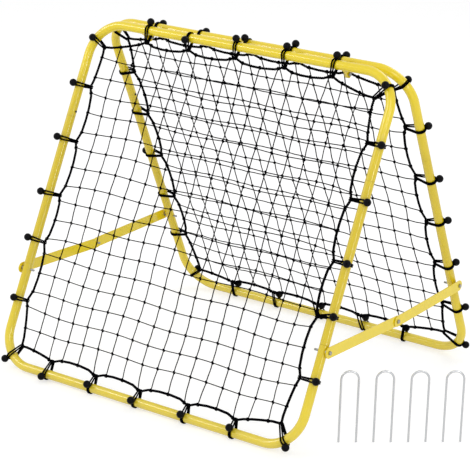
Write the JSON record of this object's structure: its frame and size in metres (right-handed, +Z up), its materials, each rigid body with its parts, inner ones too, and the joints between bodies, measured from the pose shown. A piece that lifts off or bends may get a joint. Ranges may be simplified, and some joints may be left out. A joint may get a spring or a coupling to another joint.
{
  "type": "soccer rebounder",
  "caption": "Folding A-frame soccer rebounder: square tube frames hinged at the top, bungee-held nets, folding braces and loose ground pegs.",
  "frame": {"origin": "on the ground under the middle of the front bottom bar, at the flat underside of its middle bungee", "axes": "+X along the bars to the right seen from the front, +Y from the front frame to the rear frame, +Z up"},
  "size_m": [1.2785, 0.9229, 0.9314],
  "materials": {
    "yellow_powder_coat": "semi-gloss powder coat",
    "black_elastic": "smooth moulded balls and woven elastic",
    "black_net_cord": "twisted cord",
    "zinc_plated_steel": "zinc plated",
    "bright_steel_wire": "bright drawn wire",
    "dark_screw": "blackened"
  },
  "bodies": {
    "front_frame": {"front_upper_tube": "yellow_powder_coat", "front_lower_tube": "yellow_powder_coat", "front_net": "black_net_cord", "front_border_cord": "black_net_cord", "front_bottom_bungee_1": "black_elastic", "front_bottom_bungee_2": "black_elastic", "front_bottom_bungee_3": "black_elastic", "front_bottom_bungee_4": "black_elastic", "front_bottom_bungee_5": "black_elastic", "front_bottom_bungee_6": "black_elastic", "front_bottom_bungee_7": "black_elastic", "front_left_side_tube": "yellow_powder_coat", "front_left_joint_screw": "dark_screw", "front_left_brace_bolt": "zinc_plated_steel", "front_left_brace_nut": "zinc_plated_steel", "front_left_brace_spacer": "zinc_plated_steel", "front_right_side_tube": "yellow_powder_coat", "front_right_joint_screw": "dark_screw", "front_right_brace_bolt": "zinc_plated_steel", "front_right_brace_nut": "zinc_plated_steel", "front_right_brace_spacer": "zinc_plated_steel", "left_hinge_bolt": "zinc_plated_steel", "left_hinge_nut": "zinc_plated_steel", "right_hinge_bolt": "zinc_plated_steel", "right_hinge_nut": "zinc_plated_steel", "peg_1": "bright_steel_wire", "peg_2": "bright_steel_wire", "peg_3": "bright_steel_wire", "peg_4": "bright_steel_wire"},
    "front_left_brace": {"front_left_brace": "yellow_powder_coat", "left_middle_nut": "zinc_plated_steel"},
    "front_right_brace": {"front_right_brace": "yellow_powder_coat", "right_middle_nut": "zinc_plated_steel"},
    "rear_frame": {"rear_upper_tube": "yellow_powder_coat", "rear_lower_tube": "yellow_powder_coat", "rear_net": "black_net_cord", "rear_border_cord": "black_net_cord", "rear_bottom_bungee_1": "black_elastic", "rear_bottom_bungee_2": "black_elastic", "rear_bottom_bungee_3": "black_elastic", "rear_bottom_bungee_4": "black_elastic", "rear_bottom_bungee_5": "black_elastic", "rear_bottom_bungee_6": "black_elastic", "rear_bottom_bungee_7": "black_elastic", "rear_left_side_tube": "yellow_powder_coat", "rear_left_joint_screw": "dark_screw", "rear_left_brace_bolt": "zinc_plated_steel", "rear_left_brace_nut": "zinc_plated_steel", "rear_left_brace_spacer": "zinc_plated_steel", "rear_right_side_tube": "yellow_powder_coat", "rear_right_joint_screw": "dark_screw", "rear_right_brace_bolt": "zinc_plated_steel", "rear_right_brace_nut": "zinc_plated_steel", "rear_right_brace_spacer": "zinc_plated_steel"},
    "rear_left_brace": {"rear_left_brace": "yellow_powder_coat", "left_middle_bolt": "zinc_plated_steel"},
    "rear_right_brace": {"rear_right_brace": "yellow_powder_coat", "right_middle_bolt": "zinc_plated_steel"}
  },
  "joints": [
    {"name": "frame_fold", "type": "hinge", "parent": "front_frame", "child": "rear_frame", "pos_m": [0, 0.43465, 0.87507], "axis": [-1, 0, 0], "range_deg": [0, 50]},
    {"name": "front_left_brace_fold", "type": "hinge", "parent": "front_frame", "child": "front_left_brace", "pos_m": [-0.4875, 0.10988, 0.25194], "axis": [1, 0, 0], "range_deg": [0, 61.3]},
    {"name": "front_right_brace_fold", "type": "hinge", "parent": "front_frame", "child": "front_right_brace", "pos_m": [0.4875, 0.10988, 0.25194], "axis": [1, 0, 0], "range_deg": [0, 61.3]},
    {"name": "rear_left_brace_fold", "type": "hinge", "parent": "rear_frame", "child": "rear_left_brace", "pos_m": [-0.4875, 0.75943, 0.25194], "axis": [-1, 0, 0], "range_deg": [0, 61.3]},
    {"name": "rear_right_brace_fold", "type": "hinge", "parent": "rear_frame", "child": "rear_right_brace", "pos_m": [0.4875, 0.75943, 0.25194], "axis": [-1, 0, 0], "range_deg": [0, 61.3]}
  ],
  "couplings": [
    {"joint": "front_left_brace_fold", "follows": "frame_fold", "ratio": 1.2258},
    {"joint": "front_right_brace_fold", "follows": "frame_fold", "ratio": 1.2258},
    {"joint": "rear_left_brace_fold", "follows": "frame_fold", "ratio": 1.2258},
    {"joint": "rear_right_brace_fold", "follows": "frame_fold", "ratio": 1.2258}
  ]
}
